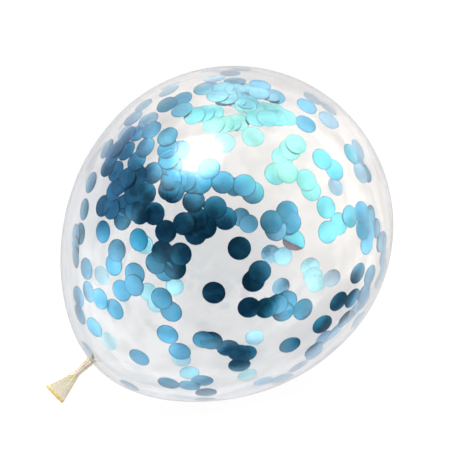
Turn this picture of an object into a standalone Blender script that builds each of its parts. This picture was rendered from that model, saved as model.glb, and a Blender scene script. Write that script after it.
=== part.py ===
"""Confetti balloon: a clear latex balloon, blown up and lying on its side.

Metres, +Z up. The origin is the middle of the small flat spot that the balloon rests on.
The crown points up and towards +X. The neck and its open mouth point down and towards -X.
Body, neck, mouth and rolled lip are one moulding, so they are one solid. The body is sealed
at the puckered root of the neck. Past that the neck is a flat, open trumpet.
"""

from math import atan2, cos, pi, radians, sin, sqrt, tan
from typing import NamedTuple

import bmesh
import bpy
from mathutils import Matrix, Vector

# Blown body: a round crown half, and a longer neck half that draws in towards its end.
BODY_RADIUS = 0.150
CROWN_REACH = 0.151
NECK_REACH = 0.185
NECK_DRAW = 0.15
NECK_DRAW_POWER = 2.6
NECK_LEAN = radians(4.1)

# How it lies: the body's axis rises by this much to the crown, and rests on a flat spot.
AXIS_TILT = radians(32.5)
FLAT_RADIUS = 0.021
CONTACT_STEPS = 3600

# Neck: puckered root, round tube, flat trumpet, rolled lip. Widths are half widths.
ROOT_RADIUS = 0.0034
ROOT_LENGTH = 0.0050
TUBE_LENGTH = 0.0137
TUBE_RADIUS = 0.0025
TUBE_FLATNESS = 0.8
MOUTH_LENGTH = 0.0272
MOUTH_HALF_WIDTH = 0.0110
MOUTH_HALF_THICKNESS = 0.0017
LIP_BEAD = 0.0010
LIP_STRETCH = 1.55
LIP_SIDE_SWELL = 0.45
WALL = 0.0005
PLEATS = 7

# Facets
SEGMENTS = 64
RINGS = 34
MOUTH_RINGS = 5
BEAD_RINGS = 7
SHARP_ANGLE = radians(50)


class NeckRing(NamedTuple):
    """One cross-section of the neck: how far out it stands, its half sizes and its pleats."""

    distance: float
    half_width: float
    half_thickness: float
    pleat: float = 0.0


def clear_scene():
    for thing in list(bpy.data.objects):
        bpy.data.objects.remove(thing, do_unlink=True)


def latex(name, colour, roughness, transmission):
    """A latex finish."""
    finish = bpy.data.materials.new(name)
    finish.use_nodes = True
    shader = finish.node_tree.nodes["Principled BSDF"]
    shader.inputs["Base Color"].default_value = (*colour, 1.0)
    shader.inputs["Roughness"].default_value = roughness
    shader.inputs["Metallic"].default_value = 0.0
    shader.inputs["Transmission Weight"].default_value = transmission
    return finish


def blown(unit):
    """Where the blown body carries a point of the unit sphere, with the crown at +Z."""
    if unit.z >= 0:
        return Vector((BODY_RADIUS * unit.x, BODY_RADIUS * unit.y, CROWN_REACH * unit.z))
    girth = BODY_RADIUS * (1 - NECK_DRAW * (-unit.z) ** NECK_DRAW_POWER)
    return Vector((girth * unit.x, girth * unit.y, NECK_REACH * unit.z))


def lying():
    """Turns the upright balloon, crown at +Z, to lie with its crown up towards +X."""
    return Matrix.Rotation(pi / 2 - AXIS_TILT, 3, "Y")


def contact_point():
    """The lowest point of the whole round body as it lies."""
    turn = lying()
    angles = (pi * step / CONTACT_STEPS for step in range(CONTACT_STEPS + 1))
    underside = (turn @ blown(Vector((sin(angle), 0, cos(angle)))) for angle in angles)
    return min(underside, key=lambda point: point.z)


def mouth_rings():
    """The flat trumpet, straight-sided from the tube to the lip."""
    start = ROOT_LENGTH + TUBE_LENGTH
    for step in range(1, MOUTH_RINGS + 1):
        share = step / MOUTH_RINGS
        yield NeckRing(
            start + MOUTH_LENGTH * share,
            TUBE_RADIUS + (MOUTH_HALF_WIDTH - TUBE_RADIUS) * share,
            TUBE_RADIUS * TUBE_FLATNESS * (1 - share) + MOUTH_HALF_THICKNESS * share,
        )


def lip_rings():
    """The rolled lip: a flattened bead that turns outwards and back into the mouth."""
    centre = ROOT_LENGTH + TUBE_LENGTH + MOUTH_LENGTH + LIP_BEAD * LIP_STRETCH
    for step in range(BEAD_RINGS):
        turn = pi * (0.15 + 1.15 * step / (BEAD_RINGS - 1))
        swell = LIP_BEAD * sin(turn) - WALL / 2
        side = swell * LIP_SIDE_SWELL if swell > 0 else swell
        yield NeckRing(
            centre - LIP_BEAD * LIP_STRETCH * cos(turn),
            MOUTH_HALF_WIDTH + side,
            MOUTH_HALF_THICKNESS + swell,
        )


def hollow_rings():
    """The inside of the trumpet, a wall's thickness in from its outside, deepest ring last."""
    for ring in reversed(list(mouth_rings())[:-1]):
        yield NeckRing(ring.distance, ring.half_width - WALL, ring.half_thickness - WALL)
    floor = ROOT_LENGTH + TUBE_LENGTH
    yield NeckRing(floor, TUBE_RADIUS - 2 * WALL, TUBE_RADIUS * TUBE_FLATNESS - 2 * WALL)


def neck_rings():
    """Every cross-section, from the body's end out to the lip and back down the hollow."""
    yield NeckRing(-0.0003, ROOT_RADIUS * 2.1, ROOT_RADIUS * 2.1)
    yield NeckRing(0.0003, ROOT_RADIUS * 1.40, ROOT_RADIUS * 1.35, 0.05)
    yield NeckRing(0.0014, ROOT_RADIUS * 1.05, ROOT_RADIUS, 0.10)
    yield NeckRing(ROOT_LENGTH * 0.55, ROOT_RADIUS * 0.88, ROOT_RADIUS * 0.82, 0.14)
    yield NeckRing(ROOT_LENGTH * 0.9, ROOT_RADIUS, ROOT_RADIUS * 0.92, 0.12)
    yield NeckRing(ROOT_LENGTH * 1.4, ROOT_RADIUS * 0.93, ROOT_RADIUS * 0.80, 0.08)
    yield NeckRing(ROOT_LENGTH + TUBE_LENGTH * 0.5, TUBE_RADIUS * 1.12, TUBE_RADIUS * 0.92, 0.04)
    yield NeckRing(ROOT_LENGTH + TUBE_LENGTH, TUBE_RADIUS, TUBE_RADIUS * TUBE_FLATNESS)
    yield from mouth_rings()
    yield from lip_rings()
    yield from hollow_rings()


def place_ring(verts, before, ring, centre, along, wide, thin):
    """Moves a ring of points from the cross-section `before` to the cross-section `ring`."""
    for vert in verts:
        offset = vert.co - centre
        angle = atan2(offset.dot(thin) / before.half_thickness, offset.dot(wide) / before.half_width)
        reach = 1 + ring.pleat * cos(PLEATS * angle)
        across = wide * (ring.half_width * cos(angle)) + thin * (ring.half_thickness * sin(angle))
        vert.co = centre + along * ring.distance + across * reach


def grow_neck(mesh, rim, centre, along):
    """Extrudes the neck from the open rim of the body, ring by ring, and closes its hollow."""
    thin = Vector((0, 1, 0))
    wide = along.cross(thin)
    before = NeckRing(0, 1, 1)
    for ring in neck_rings():
        made = bmesh.ops.extrude_edge_only(mesh, edges=rim)["geom"]
        verts = [item for item in made if isinstance(item, bmesh.types.BMVert)]
        rim = [item for item in made if isinstance(item, bmesh.types.BMEdge) and item.is_boundary]
        place_ring(verts, before, ring, centre, along, wide, thin)
        before = ring
    bmesh.ops.edgeloop_fill(mesh, edges=rim)


def cut_flat_spot(mesh):
    """Cuts the body off flat at z = 0 and closes the cut."""
    everything = mesh.verts[:] + mesh.edges[:] + mesh.faces[:]
    cut = bmesh.ops.bisect_plane(
        mesh,
        geom=everything,
        dist=0.00002,
        plane_co=(0, 0, 0),
        plane_no=(0, 0, 1),
        clear_inner=True,
    )
    rim = [item for item in cut["geom_cut"] if isinstance(item, bmesh.types.BMEdge)]
    bmesh.ops.edgeloop_fill(mesh, edges=rim)


def make_balloon():
    """The whole balloon as one closed solid, in the place where it lies."""
    mesh = bmesh.new()
    lean = atan2(NECK_REACH * tan(NECK_LEAN), BODY_RADIUS * (1 - NECK_DRAW))
    sphere = bmesh.ops.create_uvsphere(
        mesh,
        u_segments=SEGMENTS,
        v_segments=RINGS,
        radius=1,
        matrix=Matrix.Rotation(lean, 4, "Y"),
    )
    neck_side = Vector((-sin(lean), 0, -cos(lean)))
    pole = max(sphere["verts"], key=lambda vert: vert.co.dot(neck_side))
    for vert in sphere["verts"]:
        vert.co = blown(vert.co)
    root = pole.co.copy()
    bmesh.ops.delete(mesh, geom=[pole], context="VERTS")
    rim = [edge for edge in mesh.edges if edge.is_boundary]
    outwards = root.normalized()
    grow_neck(mesh, rim, root, outwards)
    for face in mesh.faces:
        past_root = (face.calc_center_median() - root).dot(outwards) > 0
        face.material_index = 1 if past_root else 0

    lowest = contact_point()
    flat_depth = BODY_RADIUS - sqrt(BODY_RADIUS**2 - FLAT_RADIUS**2)
    turn = lying()
    for vert in mesh.verts:
        vert.co = turn @ vert.co - lowest - Vector((0, 0, flat_depth))
    cut_flat_spot(mesh)
    bmesh.ops.recalc_face_normals(mesh, faces=mesh.faces[:])

    data = bpy.data.meshes.new("latex_balloon")
    mesh.to_mesh(data)
    mesh.free()
    data.materials.append(latex("clear_latex", (0.93, 0.92, 0.91), 0.05, 1.0))
    data.materials.append(latex("milky_latex", (0.87, 0.77, 0.53), 0.35, 0.0))
    data.shade_smooth()
    data.set_sharp_from_angle(angle=SHARP_ANGLE)
    balloon = bpy.data.objects.new("latex_balloon", data)
    bpy.context.scene.collection.objects.link(balloon)
    return balloon


clear_scene()
make_balloon()
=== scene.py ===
"""The looks of a clear confetti balloon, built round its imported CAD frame.

Metres, +Z up, in the frame's own coordinates. The balloon lies on a small flat spot at the
origin, with its crown up towards +X and its neck down towards -X. The front is -Y.
The clear skin and the creamy neck are one latex moulding. They are two pieces here, because
one is see-through and the other isn't. The foil discs are loose, and cling to the inner wall.
"""

import logging
import random
from collections.abc import Callable, Iterator, Sequence
from dataclasses import dataclass, field
from enum import Enum
from functools import cache, partial
from math import atan2, cos, hypot, pi, radians, sin, sqrt, tan

import bmesh
import bpy
from mathutils import Matrix, Vector
from mathutils.bvhtree import BVHTree


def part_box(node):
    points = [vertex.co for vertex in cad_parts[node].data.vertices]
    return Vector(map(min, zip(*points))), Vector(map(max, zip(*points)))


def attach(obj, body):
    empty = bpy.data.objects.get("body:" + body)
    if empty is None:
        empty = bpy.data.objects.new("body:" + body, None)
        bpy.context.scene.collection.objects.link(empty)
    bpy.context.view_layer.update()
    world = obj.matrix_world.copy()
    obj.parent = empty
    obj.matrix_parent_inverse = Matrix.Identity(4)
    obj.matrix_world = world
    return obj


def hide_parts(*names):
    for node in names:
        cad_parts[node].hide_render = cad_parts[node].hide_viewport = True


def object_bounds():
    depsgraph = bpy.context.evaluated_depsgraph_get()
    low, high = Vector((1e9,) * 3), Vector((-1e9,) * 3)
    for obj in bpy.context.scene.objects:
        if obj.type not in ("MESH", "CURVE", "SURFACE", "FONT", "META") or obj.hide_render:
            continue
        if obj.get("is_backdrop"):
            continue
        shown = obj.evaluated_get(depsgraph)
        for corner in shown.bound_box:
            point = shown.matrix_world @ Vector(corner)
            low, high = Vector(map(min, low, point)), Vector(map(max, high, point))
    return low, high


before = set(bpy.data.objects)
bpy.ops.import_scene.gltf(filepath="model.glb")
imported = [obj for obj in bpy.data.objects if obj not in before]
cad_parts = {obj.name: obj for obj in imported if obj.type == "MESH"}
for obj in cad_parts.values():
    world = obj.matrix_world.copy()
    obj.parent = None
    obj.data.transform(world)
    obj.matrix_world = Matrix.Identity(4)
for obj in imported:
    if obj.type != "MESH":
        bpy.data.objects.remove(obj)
CAD_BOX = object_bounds()

LOG = logging.getLogger("confetti_balloon")
BALLOON_NODE = "latex_balloon"

Colour = tuple[float, float, float]
Spot = tuple[float, float]
Socket = bpy.types.NodeSocket
Inputs = dict[str | int, object]


# ---------------------------------------------------------------- shape of the balloon


@dataclass(frozen=True)
class BalloonForm:
    """The blown body's outside, and how it lies on its flat spot.

    The upright balloon has its crown at +Z, its front at -Y and its middle at the origin.

    Attributes:
        girth: Radius round the fattest part.
        crown_share: Reach of the crown, as a share of the girth.
        neck_share: Reach of the neck end, as a share of the girth.
        neck_draw: How far the neck end draws in, as a share of the girth.
        neck_draw_power: How late it draws in.
        neck_lean: Angle of the neck off the body's axis.
        axis_tilt: Angle of the body's axis above the floor.
        flat_share: Radius of the flat spot, as a share of the girth.
    """

    girth: float
    crown_share: float = 1.0067
    neck_share: float = 1.2333
    neck_draw: float = 0.15
    neck_draw_power: float = 2.6
    neck_lean: float = radians(4.1)
    axis_tilt: float = radians(32.5)
    flat_share: float = 0.14

    @classmethod
    def from_frame(cls, node: str) -> "BalloonForm":
        """Reads the girth from the CAD node's box."""
        low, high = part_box(node)
        return cls(girth=(high.y - low.y) / 2)

    @property
    def pole_lean(self) -> float:
        """Angle by which a sphere's pole is turned to meet the leaning neck."""
        return atan2(self.neck_share * tan(self.neck_lean), 1 - self.neck_draw)

    def blown(self, unit: Vector) -> Vector:
        """Carries a point of the unit sphere to the upright balloon's skin.

        Args:
            unit: The point on the unit sphere.

        Returns:
            The point on the skin.
        """
        if unit.z >= 0:
            return Vector((unit.x, unit.y, self.crown_share * unit.z)) * self.girth
        narrow = 1 - self.neck_draw * (-unit.z) ** self.neck_draw_power
        return Vector((narrow * unit.x, narrow * unit.y, self.neck_share * unit.z)) * self.girth

    def turn(self) -> Matrix:
        """Turns the upright balloon to lie with its crown up towards +X."""
        return Matrix.Rotation(pi / 2 - self.axis_tilt, 3, "Y")

    def drop(self) -> Vector:
        """What to take off a turned point, so that the flat spot's middle is the origin.

        Returns:
            The shift.
        """
        steps = 3600
        angles = (pi * step / steps for step in range(steps + 1))
        underside = (self.turn() @ self.blown(Vector((sin(a), 0, cos(a)))) for a in angles)
        lowest = min(underside, key=lambda point: point.z)
        flat = self.girth * self.flat_share
        return lowest + Vector((0, 0, self.girth - sqrt(self.girth**2 - flat**2)))

    def placing(self) -> Matrix:
        """The whole move from the upright balloon to the lying one."""
        return Matrix.Translation(-self.drop()) @ self.turn().to_4x4()

    def unit_at(self, up: float, around: float) -> Vector:
        """The unit sphere's point so many degrees crownwards, and round from front to left."""
        high, side = radians(up), radians(around)
        return Vector((-cos(high) * sin(side), -cos(high) * cos(side), sin(high)))

    def neck_frame(self) -> Matrix:
        """The neck's own frame where it leaves the body: X wide, Y thin, Z out along it.

        Returns:
            The frame.
        """
        lean = self.pole_lean
        root = self.blown(Vector((-sin(lean), 0, -cos(lean))))
        along = root.normalized()
        thin = Vector((0, 1, 0))
        wide = thin.cross(along)
        axes = Matrix((wide, thin, along)).transposed().to_4x4()
        return self.placing() @ Matrix.Translation(root) @ axes


# ---------------------------------------------------------------- node helpers


class NodeGraph:
    """Adds nodes to one node tree, and feeds their sockets."""

    def __init__(self, tree: bpy.types.NodeTree) -> None:
        """Works on the given tree."""
        self.tree = tree

    def feed(self, socket: Socket, value: object) -> None:
        """Links a socket to another one, or sets it to a plain value.

        Args:
            socket: The input to feed.
            value: An output socket, a number, a vector or a colour.
        """
        if isinstance(value, Socket):
            self.tree.links.new(value, socket)
        elif isinstance(value, tuple) and socket.type == "RGBA":
            socket.default_value = (*value, 1.0)
        else:
            socket.default_value = value

    def add(self, kind: str, inputs: Inputs | None = None, **settings: object) -> bpy.types.Node:
        """Adds a node.

        Args:
            kind: The node's type name, without the ShaderNode in front.
            inputs: What to feed to it, by the names or numbers of its sockets.
            settings: What to set on it.

        Returns:
            The new node.
        """
        node = self.tree.nodes.new("ShaderNode" + kind)
        for name, value in settings.items():
            setattr(node, name, value)
        for name, value in (inputs or {}).items():
            self.feed(node.inputs[name], value)
        return node

    def maths(self, operation: str, *values: object) -> Socket:
        """A Math node's result from its inputs in order."""
        return self.add("Math", dict(enumerate(values)), operation=operation).outputs[0]

    def vectors(self, operation: str, *values: object, output: str = "Vector") -> Socket:
        """A Vector Math node's result from its vector inputs in order."""
        node = self.add("VectorMath", dict(enumerate(values)), operation=operation)
        return node.outputs[output]

    def noise(self, where: Socket, scale: float, detail: float = 2.0, output: str = "Fac") -> Socket:
        """Soft noise from 0 to 1, at a scale per metre and with that many octaves."""
        inputs = {"Vector": where, "Scale": scale, "Detail": detail}
        return self.add("TexNoise", inputs).outputs[output]

    def ease(self, value: object, start: float, end: float,
             low: float = 0.0, high: float = 1.0) -> Socket:
        """Runs smoothly from low, while the value is under the start, to high past the end."""
        inputs = {"Value": value, "From Min": start, "From Max": end, "To Min": low, "To Max": high}
        return self.add("MapRange", inputs, interpolation_type="SMOOTHSTEP").outputs["Result"]

    def blend(self, share: object, first: object, second: object) -> Socket:
        """Blends two colours by the share of the second, from 0 to 1."""
        return self.add("Mix", {0: share, 6: first, 7: second}, data_type="RGBA").outputs[2]

    def ramp(self, value: Socket, stops: Sequence[tuple[float, Colour]]) -> Socket:
        """Colours along a ramp.

        Args:
            value: Where on the ramp, from 0 to 1.
            stops: The places and colours, in order.

        Returns:
            The output socket.
        """
        node = self.add("ValToRGB", {"Fac": value})
        elements = node.color_ramp.elements
        while len(elements) < len(stops):
            elements.new(1.0)
        for element, (place, colour) in zip(elements, stops):
            element.position = place
            element.color = (*colour, 1.0)
        return node.outputs["Color"]

    def bump(self, height: Socket, strength: float, depth: float) -> Socket:
        """The normal under a height from 0 to 1 that is so many metres deep."""
        inputs = {"Height": height, "Strength": strength, "Distance": depth}
        return self.add("Bump", inputs).outputs["Normal"]

    def place(self, own: Matrix = Matrix()) -> Socket:
        """The piece's Object coordinates, read in a frame of their own."""
        inputs = {"Vector": self.add("TexCoord").outputs["Object"],
                  "Location": own.to_translation(), "Rotation": own.to_euler()}
        return self.add("Mapping", inputs, vector_type="TEXTURE").outputs["Vector"]


@cache
def fine_unevenness() -> bpy.types.NodeTree:
    """The group that latex, foil and floor share: soft patches with a fine grain on them.

    Returns:
        The group, with a Mask of patches and a Height of grain, both from 0 to 1.
    """
    tree = bpy.data.node_groups.new("fine_unevenness", "ShaderNodeTree")
    tree.interface.new_socket("Place", in_out="INPUT", socket_type="NodeSocketVector")
    for name, usual in (("Patches", 30.0), ("Grain", 900.0), ("Grain Share", 0.3)):
        socket = tree.interface.new_socket(name, in_out="INPUT", socket_type="NodeSocketFloat")
        socket.default_value = usual
    for name in ("Mask", "Height"):
        tree.interface.new_socket(name, in_out="OUTPUT", socket_type="NodeSocketFloat")
    graph = NodeGraph(tree)
    given = tree.nodes.new("NodeGroupInput").outputs
    result = tree.nodes.new("NodeGroupOutput").inputs
    patches = graph.noise(given["Place"], given["Patches"], detail=3.0)
    grain = graph.noise(given["Place"], given["Grain"], detail=1.0)
    graph.feed(result["Mask"], graph.ease(patches, 0.35, 0.7))
    share = graph.maths("MULTIPLY", grain, given["Grain Share"])
    rest = graph.maths("SUBTRACT", 1.0, given["Grain Share"])
    graph.feed(result["Height"], graph.maths("ADD", share, graph.maths("MULTIPLY", patches, rest)))
    return tree


class PlainFinish:
    """A material with one Principled shader and the shared unevenness, ready to be fed."""

    def __init__(self, name: str, patches: float, grain: float, own: Matrix = Matrix()) -> None:
        """Makes the material.

        Args:
            name: Its name.
            patches: Scale of its soft patches, per metre.
            grain: Scale of its fine grain, per metre.
            own: The frame that its patterns are read in.
        """
        self.material = bpy.data.materials.new(name)
        self.material.use_nodes = True
        self.graph = NodeGraph(self.material.node_tree)
        self.shader = self.material.node_tree.nodes["Principled BSDF"]
        self.place = self.graph.place(own)
        inputs = {"Place": self.place, "Patches": patches, "Grain": grain}
        uneven = self.graph.add("Group", inputs, node_tree=fine_unevenness())
        self.mask, self.height = uneven.outputs["Mask"], uneven.outputs["Height"]

    def set(self, **sockets: object) -> bpy.types.Material:
        """Feeds the shader's sockets.

        Args:
            sockets: What to feed, by the sockets' names with _ for a space.

        Returns:
            The material.
        """
        for name, value in sockets.items():
            self.graph.feed(self.shader.inputs[name.replace("_", " ")], value)
        return self.material

    def rough(self, low: float, high: float) -> Socket:
        """A roughness that runs from low between the patches to high on them."""
        return self.graph.ease(self.mask, 0.0, 1.0, low, high)


# ---------------------------------------------------------------- finishes


@dataclass(frozen=True)
class ClearLatex:
    """Stretched clear latex: see-through, glossy, and creamier where it thickens at the neck.

    Attributes:
        tint: Colour of the skin from the neck to the middle.
        crown_tint: Paler, warmer colour of the skin towards the crown.
        crown_reach: Distances from the root between which it clears.
        thick_tint: Colour where the skin thickens round the neck's root.
        thick_reach: Distances from the root between which the thick part fades out.
        haze: What the faint haze leaves of the tint.
        index: Index of refraction.
    """

    tint: Colour = (0.812, 0.818, 0.826)
    crown_tint: Colour = (0.903, 0.884, 0.864)
    crown_reach: tuple[float, float] = (0.200, 0.280)
    thick_tint: Colour = (0.84, 0.75, 0.62)
    thick_reach: tuple[float, float] = (0.004, 0.026)
    haze: float = 0.985
    index: float = 1.38

    def make(self, neck: Matrix) -> bpy.types.Material:
        """Makes the material.

        Args:
            neck: The neck's frame.

        Returns:
            The material.
        """
        finish = PlainFinish("clear_latex_skin", patches=9.0, grain=160.0)
        graph = finish.graph
        from_root = graph.vectors("LENGTH", graph.place(neck), output="Value")
        clearing = graph.ease(from_root, *self.crown_reach)
        towards_crown = graph.blend(clearing, self.tint, self.crown_tint)
        thinning = graph.ease(from_root, *self.thick_reach)
        colour = graph.blend(thinning, self.thick_tint, towards_crown)
        hazed = tuple(part * self.haze for part in self.tint)
        return finish.set(
            Base_Color=graph.blend(graph.maths("MULTIPLY", finish.mask, 0.5), colour, hazed),
            Roughness=finish.rough(0.0, 0.035),
            Normal=graph.bump(finish.height, 0.25, 0.0004),
            Metallic=0.0,
            Transmission_Weight=1.0,
            IOR=self.index,
        )


@dataclass(frozen=True)
class MilkyLatex:
    """Unstretched latex: cream, waxy and soft, with streaks along the neck.

    Attributes:
        root: Colour at the gathered root, painted lighter to offset the shade in its pleats.
        tube: Colour of the narrow tube, painted darker to offset the key light on it.
        flare: Colour where the tube opens.
        cream: Colour of the flat mouth.
        lip: Colour of the rolled lip.
        streaks: Colour of the paler lengthwise streaks.
        drawn_out: How the streaks are drawn out along the neck.
    """

    root: Colour = (0.80, 0.73, 0.62)
    tube: Colour = (0.57, 0.48, 0.41)
    flare: Colour = (0.72, 0.57, 0.27)
    cream: Colour = (0.80, 0.62, 0.43)
    lip: Colour = (0.57, 0.42, 0.11)
    streaks: Colour = (0.74, 0.68, 0.58)
    drawn_out: tuple[float, float, float] = (1.0, 1.0, 0.12)

    def make(self, neck: Matrix, reach: float, lip_share: float) -> bpy.types.Material:
        """Makes the material.

        Args:
            neck: The neck's frame.
            reach: The neck's whole length.
            lip_share: The lip's own part of that length.

        Returns:
            The material.
        """
        finish = PlainFinish("milky_latex_neck", patches=260.0, grain=2600.0, own=neck)
        graph = finish.graph
        out = graph.add("SeparateXYZ", {0: finish.place}).outputs["Z"]
        colour = graph.ramp(graph.maths("DIVIDE", out, reach), (
            (0.0, self.root),
            (0.16, self.tube),
            (0.36, self.tube),
            (0.46, self.flare),
            (0.62, self.cream),
            (1.0 - lip_share * 1.3, self.cream),
            (1.0 - lip_share * 0.8, self.lip),
        ))
        drawn = graph.vectors("MULTIPLY", finish.place, self.drawn_out)
        streak = graph.ease(graph.noise(drawn, 620.0, detail=3.0), 0.45, 0.7)
        ridges = graph.maths("ADD", graph.noise(drawn, 900.0), finish.height)
        return finish.set(
            Base_Color=graph.blend(graph.maths("MULTIPLY", streak, 0.45), colour, self.streaks),
            Roughness=finish.rough(0.36, 0.52),
            Normal=graph.bump(ridges, 0.5, 0.00025),
            Metallic=0.0,
            Subsurface_Weight=0.7,
            Subsurface_Radius=(1.0, 0.8, 0.45),
            Subsurface_Scale=0.0030,
            Sheen_Weight=0.1,
        )


class Mark(Enum):
    """What a foil disc's mesh is marked with, for its finish to read."""

    TONE = "foil_tone"
    # Painted sheen, by how a disc faces the light and by its drift.
    SHEEN = "foil_sheen"
    # Painted haze: how far a disc is washed out towards white.
    PALE = "foil_pale"
    EDGE = "foil_edge"
    REVERSE = "foil_reverse"


@dataclass(frozen=True)
class BlueFoil:
    """Metallised blue film: a mirror with a faint crinkle and a painted mint sheen where it faces
    the light.

    Attributes:
        deep: The deeper of the two blues that single discs range between.
        fresh: The fresher one.
        cyan: Colour of the painted sheen on the way to mint.
        mint: Colour of the painted sheen where the film faces the light.
        pale: Colour towards which the washed-out discs go, a painted haze of white light.
        reverse: Colour of the film's reverse.
        edge: Colour of the darker outline along the turned rim.
        edge_share: How much of it shows, on a disc that is neither pale nor minty.
    """

    deep: Colour = (0.018, 0.215, 0.345)
    fresh: Colour = (0.072, 0.430, 0.680)
    cyan: Colour = (0.110, 0.520, 0.640)
    mint: Colour = (0.220, 0.580, 0.550)
    pale: Colour = (0.480, 0.580, 0.660)
    reverse: Colour = (0.46, 0.38, 0.45)
    edge: Colour = (0.008, 0.080, 0.150)
    edge_share: float = 0.75

    def make(self) -> bpy.types.Material:
        """Makes the material.

        Returns:
            The material.
        """
        finish = PlainFinish("blue_foil_disc", patches=120.0, grain=1400.0)
        graph = finish.graph
        tone, sheen, pale, edge, reverse = (
            graph.add("Attribute", attribute_name=mark.value).outputs["Fac"] for mark in Mark
        )
        blue = graph.blend(tone, self.deep, self.fresh)
        shade = graph.blend(graph.maths("MULTIPLY", finish.mask, 0.25), blue, self.fresh)
        # Painted sheen: cyan and then mint where the disc faces the light.
        warmer = graph.blend(graph.ease(sheen, 0.0, 0.35), shade, self.cyan)
        minty = graph.blend(graph.ease(sheen, 0.25, 0.65), warmer, self.mint)
        # Painted haze: the pale mark washes the blue towards white.
        washed = graph.blend(pale, minty, self.pale)
        sided = graph.blend(reverse, washed, self.reverse)
        # The darker outline shows less under painted haze and painted sheen.
        shown = graph.maths("MULTIPLY", graph.ease(pale, 0.2, 0.6, self.edge_share, 0.15),
                            graph.ease(sheen, 0.0, 0.6, 1.0, 0.4))
        outlined = graph.maths("MULTIPLY", graph.ease(edge, 0.0, 0.6), shown)
        return finish.set(
            Base_Color=graph.blend(outlined, sided, self.edge),
            Roughness=finish.rough(0.17, 0.26),
            Normal=graph.bump(finish.height, 0.3, 0.00035),
            Metallic=1.0,
        )


@dataclass(frozen=True)
class PaleFloor:
    """A plain pale floor, lit enough to read as white.

    The balloon doesn't mirror it, so that the soft studio alone shapes the reflections.

    Attributes:
        colour: The floor's colour.
        worn: What faint wear leaves of the colour.
        glow: Its own light, which keeps it pale under the balloon.
    """

    colour: Colour = (0.05, 0.05, 0.05)
    worn: float = 0.97
    glow: float = 0.95

    def make(self) -> bpy.types.Material:
        """Makes the material.

        Returns:
            The material.
        """
        finish = PlainFinish("pale_floor", patches=4.0, grain=300.0)
        graph = finish.graph
        worn = tuple(part * self.worn for part in self.colour)
        material = finish.set(
            Base_Color=graph.blend(finish.mask, self.colour, worn),
            Roughness=0.8,
            Specular_IOR_Level=0.1,
            Emission_Color=(1.0, 1.0, 1.0),
            Emission_Strength=self.glow,
        )
        depth = graph.add("LightPath").outputs["Glossy Depth"]
        mirrored = graph.maths("GREATER_THAN", depth, 0.5)
        clear = graph.add("BsdfTransparent").outputs[0]
        mix = graph.add("MixShader", {0: mirrored, 1: finish.shader.outputs[0], 2: clear})
        graph.feed(material.node_tree.nodes["Material Output"].inputs[0], mix.outputs[0])
        return material


# ---------------------------------------------------------------- pieces


def finished_piece(
    name: str,
    mesh: bmesh.types.BMesh,
    material: bpy.types.Material,
    sharp: float,
) -> bpy.types.Object:
    """Turns a bmesh into a smooth-shaded piece with its material.

    Args:
        name: The piece's name.
        mesh: Its bmesh, which is freed.
        material: Its material.
        sharp: Angle past which an edge stays sharp.

    Returns:
        The piece.
    """
    data = bpy.data.meshes.new(name)
    mesh.to_mesh(data)
    mesh.free()
    data.materials.append(material)
    data.shade_smooth()
    data.set_sharp_from_angle(angle=sharp)
    piece = bpy.data.objects.new(name, data)
    bpy.context.scene.collection.objects.link(piece)
    return piece


def declare(piece: bpy.types.Object, slot: str, stands_for: str | None = None) -> None:
    """Attaches a piece to the root body, hides the CAD node it stands for, and logs its slot.

    Args:
        piece: The piece.
        slot: The record's material slot.
        stands_for: The CAD node that it replaces, if any.
    """
    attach(piece, "root")
    if stands_for:
        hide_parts(stands_for)
    LOG.info("%s: %d faces, slot %s", piece.name, len(piece.data.polygons), slot)


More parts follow.
